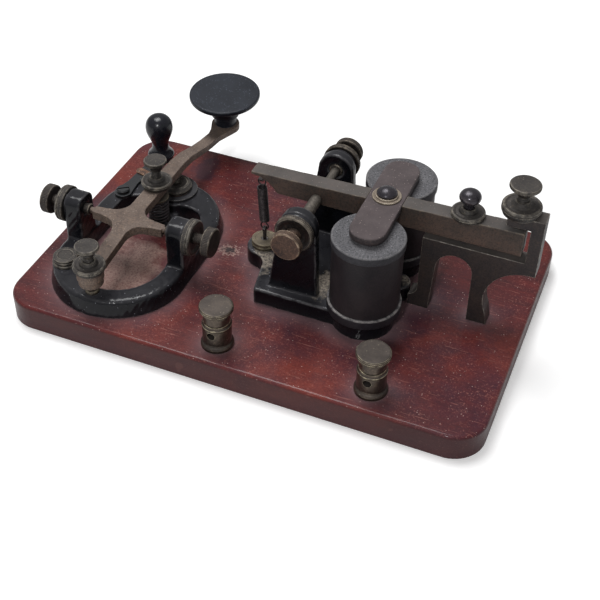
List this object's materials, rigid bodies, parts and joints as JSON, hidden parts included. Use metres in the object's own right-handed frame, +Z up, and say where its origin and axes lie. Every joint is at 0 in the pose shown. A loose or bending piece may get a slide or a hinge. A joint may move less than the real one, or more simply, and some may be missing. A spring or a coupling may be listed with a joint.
{
  "type": "telegraph key and sounder",
  "caption": "Telegraph key with sprung lever and circuit closer beside an electromagnet sounder with pivoted bar and anvil, on one wooden board with binding posts.",
  "frame": {"origin": "middle of the board's underside", "axes": "+X from the key towards the sounder along the board, +Y from the binding posts towards the key knob, +Z up"},
  "size_m": [0.2118, 0.1607, 0.0837],
  "materials": {
    "mahogany": "french polished, dusty",
    "japan": "black japan over cast iron",
    "lever_bronze": "dull, tarnished",
    "sounder_brass": "darkened brass",
    "dark_brass": "tarnished, knurled edges",
    "blackened_brass": "black lacquer, worn at the edges",
    "steel": "dull steel",
    "spring_wire": "drawn wire",
    "contact_metal": "bright",
    "copper_strip": "copper, worn",
    "hard_rubber": "moulded and polished",
    "insulation": "hard rubber",
    "coil_head": "hard rubber, dusty",
    "coil_cover": "hard rubber sleeve",
    "coil_wire": "silk and cotton covered wire",
    "soft_iron": "browned iron"
  },
  "bodies": {
    "base": {"base_board": "mahogany", "hookup_wires": "coil_wire", "frame_bolts": "steel", "key_frame": "japan", "frame_terminal_screw": "dark_brass", "rest_anvil": "dark_brass", "key_locknuts": "dark_brass", "key_spring": "spring_wire", "contact_stud": "contact_metal", "insulating_bush": "insulation", "insulating_washer": "insulation", "contact_nut": "dark_brass", "contact_strap": "copper_strip", "closer_pivot": "steel", "sounder_frame": "japan", "sounder_locknuts": "dark_brass", "sounder_spring": "spring_wire", "core_near": "soft_iron", "core_far": "soft_iron", "lower_head_near": "coil_head", "lower_head_far": "coil_head", "upper_head_near": "coil_head", "upper_head_far": "coil_head", "winding_near": "coil_wire", "winding_far": "coil_wire", "cover_near": "coil_cover", "cover_far": "coil_cover", "anvil": "sounder_brass", "up_stop_locknut": "dark_brass", "post_left": "dark_brass", "post_right": "dark_brass"},
    "key_lever": {"key_lever": "lever_bronze", "key_knob": "hard_rubber", "knob_screw": "steel", "lever_contact": "contact_metal", "tension_locknut": "dark_brass", "gap_locknut": "dark_brass", "spring_cap": "dark_brass"},
    "tension_screw": {"tension_screw": "dark_brass"},
    "gap_screw": {"gap_screw": "dark_brass"},
    "key_trunnion_left": {"key_trunnion_screw_left": "dark_brass"},
    "key_trunnion_right": {"key_trunnion_screw_right": "dark_brass"},
    "closer": {"closer_blade": "blackened_brass", "closer_handle": "hard_rubber"},
    "sounder_lever": {"sounder_lever": "sounder_brass", "lever_arbor": "steel", "armature": "soft_iron", "armature_washer": "steel", "armature_screw": "steel", "spring_eye": "steel", "down_stop_locknut": "dark_brass"},
    "down_stop": {"down_stop_screw": "dark_brass"},
    "up_stop": {"up_stop_screw": "dark_brass"},
    "sounder_trunnion_near": {"sounder_trunnion_screw_near": "dark_brass"},
    "sounder_trunnion_far": {"sounder_trunnion_screw_far": "dark_brass"},
    "tension_nut": {"tension_nut": "dark_brass", "tension_collar": "dark_brass"},
    "tension_rod": {"tension_rod": "steel"},
    "thumb_screw_left": {"thumb_screw_left": "dark_brass"},
    "thumb_screw_right": {"thumb_screw_right": "dark_brass"}
  },
  "joints": [
    {"name": "key_pivot", "type": "hinge", "parent": "base", "child": "key_lever", "pos_m": [-0.066, -0.0225, 0.0338], "axis": [-1, 0, 0], "range_deg": [0, 1], "stiffness_Nm_per_rad": 0.35, "springref_deg": -8.59, "deforming": ["key_spring"]},
    {"name": "tension_screw_turn", "type": "hinge", "parent": "key_lever", "child": "tension_screw", "pos_m": [-0.066, 0.004, 0.038], "axis": [0, 0, 1], "range_deg": [-180, 180]},
    {"name": "gap_screw_turn", "type": "hinge", "parent": "key_lever", "child": "gap_screw", "pos_m": [-0.066, -0.0559, 0.033], "axis": [0, 0, 1], "range_deg": [-180, 180]},
    {"name": "key_trunnion_left_turn", "type": "hinge", "parent": "base", "child": "key_trunnion_left", "pos_m": [-0.09, -0.0225, 0.0338], "axis": [-1, 0, 0], "range_deg": [-180, 180]},
    {"name": "key_trunnion_right_turn", "type": "hinge", "parent": "base", "child": "key_trunnion_right", "pos_m": [-0.042, -0.0225, 0.0338], "axis": [1, 0, 0], "range_deg": [-180, 180]},
    {"name": "closer_swing", "type": "hinge", "parent": "base", "child": "closer", "pos_m": [-0.087, 0.009, 0.02], "axis": [0, 0, 1], "range_deg": [0, 22]},
    {"name": "sounder_pivot", "type": "hinge", "parent": "base", "child": "sounder_lever", "pos_m": [0.0122, 0.0006, 0.0541], "axis": [0, 1, 0], "range_deg": [0, 0.7], "stiffness_Nm_per_rad": 0.153, "springref_deg": -16.62, "deforming": ["sounder_spring"]},
    {"name": "down_stop_turn", "type": "hinge", "parent": "sounder_lever", "child": "down_stop", "pos_m": [0.0745, 0.0016, 0.06], "axis": [0, 0, 1], "range_deg": [-180, 180]},
    {"name": "up_stop_turn", "type": "hinge", "parent": "base", "child": "up_stop", "pos_m": [0.0947, 0.0016, 0.068], "axis": [0, 0, 1], "range_deg": [-180, 180]},
    {"name": "sounder_trunnion_near_turn", "type": "hinge", "parent": "base", "child": "sounder_trunnion_near", "pos_m": [0.0122, -0.024, 0.0541], "axis": [0, -1, 0], "range_deg": [-180, 180]},
    {"name": "sounder_trunnion_far_turn", "type": "hinge", "parent": "base", "child": "sounder_trunnion_far", "pos_m": [0.0122, 0.025, 0.0541], "axis": [0, 1, 0], "range_deg": [-180, 180]},
    {"name": "tension_nut_turn", "type": "hinge", "parent": "base", "child": "tension_nut", "pos_m": [-0.0127, 0.0016, 0.021], "axis": [0, 0, 1], "range_deg": [-720, 720]},
    {"name": "tension_rod_slide", "type": "slide", "parent": "base", "child": "tension_rod", "axis": [0, 0, 1], "range_m": [-0.00142, 0.00142], "deforming": ["sounder_spring"]},
    {"name": "thumb_screw_left_turn", "type": "hinge", "parent": "base", "child": "thumb_screw_left", "pos_m": [-0.0087, -0.056, 0.026], "axis": [0, 0, 1], "range_deg": [-180, 180]},
    {"name": "thumb_screw_right_turn", "type": "hinge", "parent": "base", "child": "thumb_screw_right", "pos_m": [0.0575, -0.056, 0.026], "axis": [0, 0, 1], "range_deg": [-180, 180]}
  ],
  "couplings": [
    {"joint": "tension_rod_slide", "follows": "tension_nut_turn", "m_per_rad": -0.00011141}
  ]
}
